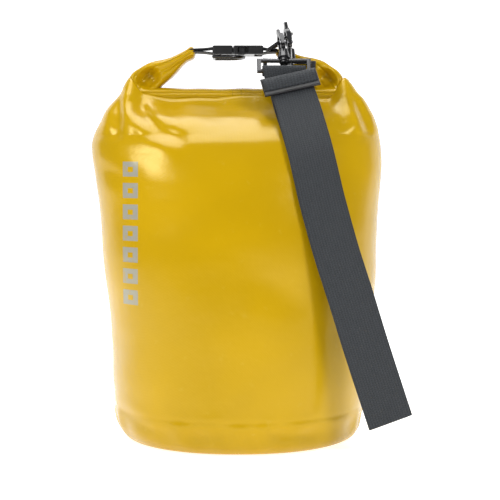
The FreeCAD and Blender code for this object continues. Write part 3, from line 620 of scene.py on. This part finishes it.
def slider_hump():
    """The turn of webbing over the slider's middle bar: most of half an ellipse about the bar."""
    start, end = np.array(FRONT_RUN[1][:3]), np.array(FRONT_RUN[3][:3])
    upward = (start - end) / np.linalg.norm(start - end)
    side = np.array([np.cos(np.radians(HUMP_TILT)), 0, np.sin(np.radians(HUMP_TILT))])
    side = side - upward * (side @ upward)
    side = side / np.linalg.norm(side)
    outward = np.cross(side, upward)
    outward = outward if outward[1] < 0 else -outward
    centre = start + outward * HUMP_STANDOFF
    a = np.radians(np.linspace(-84, 84, 15))[:, None]
    middle = centre + outward * np.cos(a) * HUMP_REACH + upward * np.sin(a) * HUMP_RISE
    normal = outward * np.cos(a) + upward * np.sin(a)
    return ribbon_mesh("slider_band", middle * MM, np.tile(side, (15, 1)), normal, HUMP_WIDTH,
                       HUMP_THICKNESS, 60)


# ---- operators ----


def paint_with(piece, material):
    piece.data.materials.clear()
    piece.data.materials.append(material)
    return piece


def settings_of(name):
    return getattr(bpy.context.scene, name)


class BAG_OT_skin(bpy.types.Operator):
    """Builds the welded skin of the bag, with its round base"""
    bl_idname = "drybag.skin"
    bl_label = "Bag skin"

    def execute(self, context):
        chosen = settings_of("bag_fabric")
        skin = make_skin(chosen)
        paint_with(skin, coated_fabric("marked_fabric", chosen.colour, chosen.mark_colour))
        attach(skin, "bag")
        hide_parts("body_wall", "base_panel")
        return {"FINISHED"}


class BAG_OT_roll(bpy.types.Operator):
    """Builds the rolled mouth and the two folded ends that rise to the buckle"""
    bl_idname = "drybag.roll"
    bl_label = "Rolled mouth and arms"

    def execute(self, context):
        chosen = settings_of("bag_fabric")
        fabric = coated_fabric("plain_fabric", chosen.colour)
        roll = make_roll()
        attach(roll, "bag")
        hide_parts("rolled_collar")
        left = make_arm("left_arm_fabric", LEFT_OUTER, LEFT_INNER, 0.0125, ((-79, 319), (9.5, 8.5), 11))
        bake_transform(left)
        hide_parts("left_roll_end")
        right = make_arm("right_arm_fabric", RIGHT_OUTER, RIGHT_INNER, 0.0072, ((79, 317), (9, 9), 10))
        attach(right, "bag")
        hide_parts("right_roll_end")
        stitched = coated_fabric("stitched_fabric", chosen.colour, seam=True)
        for piece, material in ((roll, stitched), (left, fabric), (right, fabric)):
            paint_with(piece, material)
        return {"FINISHED"}


class BAG_OT_webbing(bpy.types.Operator):
    """Builds the shoulder strap, the slider's webbing and the two loops on the buckle"""
    bl_idname = "drybag.webbing"
    bl_label = "Webbing"

    def execute(self, context):
        chosen = settings_of("webbing")
        broad = ribbed_webbing("strap_webbing", chosen.colour, 17)
        narrow = ribbed_webbing("handle_webbing", chosen.colour, 9)
        middle, side, normal = strap_path()
        strap = ribbon_mesh("shoulder_webbing", middle * MM, side, normal, chosen.strap_width,
                            chosen.strap_thickness, 620)
        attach(strap, "strap")
        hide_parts("shoulder_strap")
        hump = slider_hump()
        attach(hump, "slider")
        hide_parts("slider_webbing")
        left = band_loop("plug_band", BUCKLE_LEFT + BAND_INSET, PLUG_BAND_END, chosen.handle_width)
        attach(left, "plug")
        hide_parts("plug_webbing")
        right = band_loop("socket_band", BUCKLE_HIGH[0] - BAND_INSET, SOCKET_BAND_END,
                          chosen.handle_width)
        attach(right, "bag")
        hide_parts("socket_webbing")
        for piece, material in ((strap, broad), (hump, broad), (left, narrow), (right, narrow)):
            paint_with(piece, material)
        return {"FINISHED"}


class BAG_OT_hardware(bpy.types.Operator):
    """Gives the buckle, rings, hooks, slider and hidden strips their finishes"""
    bl_idname = "drybag.hardware"
    bl_label = "Hardware finishes"

    def execute(self, context):
        finishes = {
            "buckle_plastic": moulded_black("black_nylon", (0.011, 0.011, 0.012), 0.26),
            "ring_metal": moulded_black("ring_coating", (0.010, 0.010, 0.011), 0.18),
            "hook_metal": moulded_black("hook_coating", (0.012, 0.012, 0.014), 0.2),
            "steel": bright_steel("bright_steel"),
            "strip_plastic": moulded_black("strip_black", (0.03, 0.03, 0.03), 0.5),
            "tarpaulin": coated_fabric("spare_fabric", settings_of("bag_fabric").colour),
            "webbing": ribbed_webbing("spare_webbing", settings_of("webbing").colour, 9),
        }
        for row in frame["record"]["subparts"]:
            node = frame["nodes"][row["node"]]
            for slot in node.material_slots or ():
                slot.material = finishes[row["material_slot"]]
            if not node.material_slots:
                node.data.materials.append(finishes[row["material_slot"]])
        return {"FINISHED"}


CAMERA_PLACE, CAMERA_DIP, CAMERA_YAW, CAMERA_LENS = (0, -1.25, 0.25), 3.87, 0.536, 100


class BAG_OT_studio(bpy.types.Operator):
    """Makes the pale floor, the soft lights and the camera"""
    bl_idname = "drybag.studio"
    bl_label = "Studio"

    def execute(self, context):
        chosen = settings_of("studio")
        scene = context.scene
        floor = backdrop()
        soft_light("key", (0.85, -0.95, 1.0), 0.45, chosen.key_power)
        soft_light("fill", (-1.05, -0.7, 0.95), 0.5, chosen.fill_power)
        soft_light("top", (-0.1, 0.1, 1.15), 0.7, chosen.fill_power * 0.7)
        world = bpy.data.worlds.new("pale_room")
        world.use_nodes = True
        pale = world.node_tree.nodes["Background"]
        pale.inputs[0].default_value = (1, 1, 1, 1)
        seen = world.node_tree.nodes.new("ShaderNodeMapRange")
        sight = world.node_tree.nodes.new("ShaderNodeLightPath")
        world.node_tree.links.new(sight.outputs["Is Camera Ray"], seen.inputs["Value"])
        seen.inputs["To Min"].default_value = chosen.room_light
        world.node_tree.links.new(seen.outputs[0], pale.inputs[1])
        scene.world = world
        camera = bpy.data.cameras.new("camera")
        camera.lens, camera.sensor_width = CAMERA_LENS, 36
        stand = bpy.data.objects.new("camera", camera)
        scene.collection.objects.link(stand)
        stand.location = CAMERA_PLACE
        stand.rotation_euler = (np.radians(90 - CAMERA_DIP), 0, -np.radians(CAMERA_YAW))
        scene.camera = stand
        scene.view_settings.view_transform = "Standard"
        return {"FINISHED"}


def backdrop():
    """A floor that curves up into a wall behind: a straight run, a quarter circle and a straight run."""
    a = np.linspace(0, np.pi / 2, 24)
    flat = np.array([[-3.0, 0.0], [2.0, 0.0]])
    bend = np.stack([2.0 + np.sin(a) * 1.0, 1.0 - np.cos(a)], axis=1)
    rise = np.array([[3.0, 3.5]])
    profile = np.vstack([flat, bend, rise])
    points = np.array([[[x, y, z] for x in (-5.0, 5.0)] for y, z in profile]).reshape(-1, 3)
    rows = np.arange(len(profile) - 1)
    quads = np.stack([2 * rows, 2 * rows + 1, 2 * rows + 3, 2 * rows + 2], axis=1)
    mesh = bpy.data.meshes.new("floor")
    mesh.from_pydata((points - [0, 0, 0.0003]).tolist(), [], quads.tolist())
    mesh.polygons.foreach_set("use_smooth", np.ones(len(mesh.polygons), bool))
    floor = bpy.data.objects.new("floor", mesh)
    bpy.context.scene.collection.objects.link(floor)
    paint = Finish("pale_floor")
    tone = paint.noise(6.0, 2.0)
    mesh.materials.append(paint.surface(
        Base_Color=paint.mix(tone, rgb((0.93, 0.93, 0.93)), rgb((0.97, 0.97, 0.97))), Roughness=0.9,
        Emission_Color=(1, 1, 1, 1), Emission_Strength=0.8))
    return floor


def soft_light(name, place, size, watts):
    light = bpy.data.lights.new(name, "AREA")
    light.shape, light.size, light.energy = "DISK", size, watts
    lamp = bpy.data.objects.new(name, light)
    bpy.context.scene.collection.objects.link(lamp)
    lamp.location = place
    lamp.rotation_euler = (Vector((0, 0, 0.2)) - Vector(place)).to_track_quat("-Z", "Y").to_euler()


OPERATORS = (BAG_OT_studio, BAG_OT_skin, BAG_OT_roll, BAG_OT_webbing, BAG_OT_hardware)


class BAG_PT_panel(bpy.types.Panel):
    """Lists the bag's pieces and their settings"""
    bl_idname = "BAG_PT_panel"
    bl_label = "Dry bag"
    bl_space_type = "VIEW_3D"
    bl_region_type = "UI"
    bl_category = "Dry bag"

    def draw(self, context):
        for name in ("bag_fabric", "webbing", "studio"):
            chosen = settings_of(name)
            for row in chosen.bl_rna.properties:
                if row.identifier not in ("rna_type", "name"):
                    self.layout.prop(chosen, row.identifier)
        for operator in OPERATORS:
            self.layout.operator(operator.bl_idname)


GROUPS = {"bag_fabric": BagFabricSettings, "webbing": WebbingSettings, "studio": StudioSettings}


def register():
    for group in GROUPS.values():
        bpy.utils.register_class(group)
    for name, group in GROUPS.items():
        setattr(bpy.types.Scene, name, bpy.props.PointerProperty(type=group))
    for kind in (*OPERATORS, BAG_PT_panel):
        bpy.utils.register_class(kind)


def unregister():
    for kind in (BAG_PT_panel, *reversed(OPERATORS)):
        bpy.utils.unregister_class(kind)
    for name, group in GROUPS.items():
        delattr(bpy.types.Scene, name)
        bpy.utils.unregister_class(group)


def main():
    register()
    bpy.ops.drybag.studio()
    bpy.ops.drybag.skin()
    bpy.ops.drybag.roll()
    bpy.ops.drybag.webbing()
    bpy.ops.drybag.hardware()


if __name__ == "__main__":
    main()
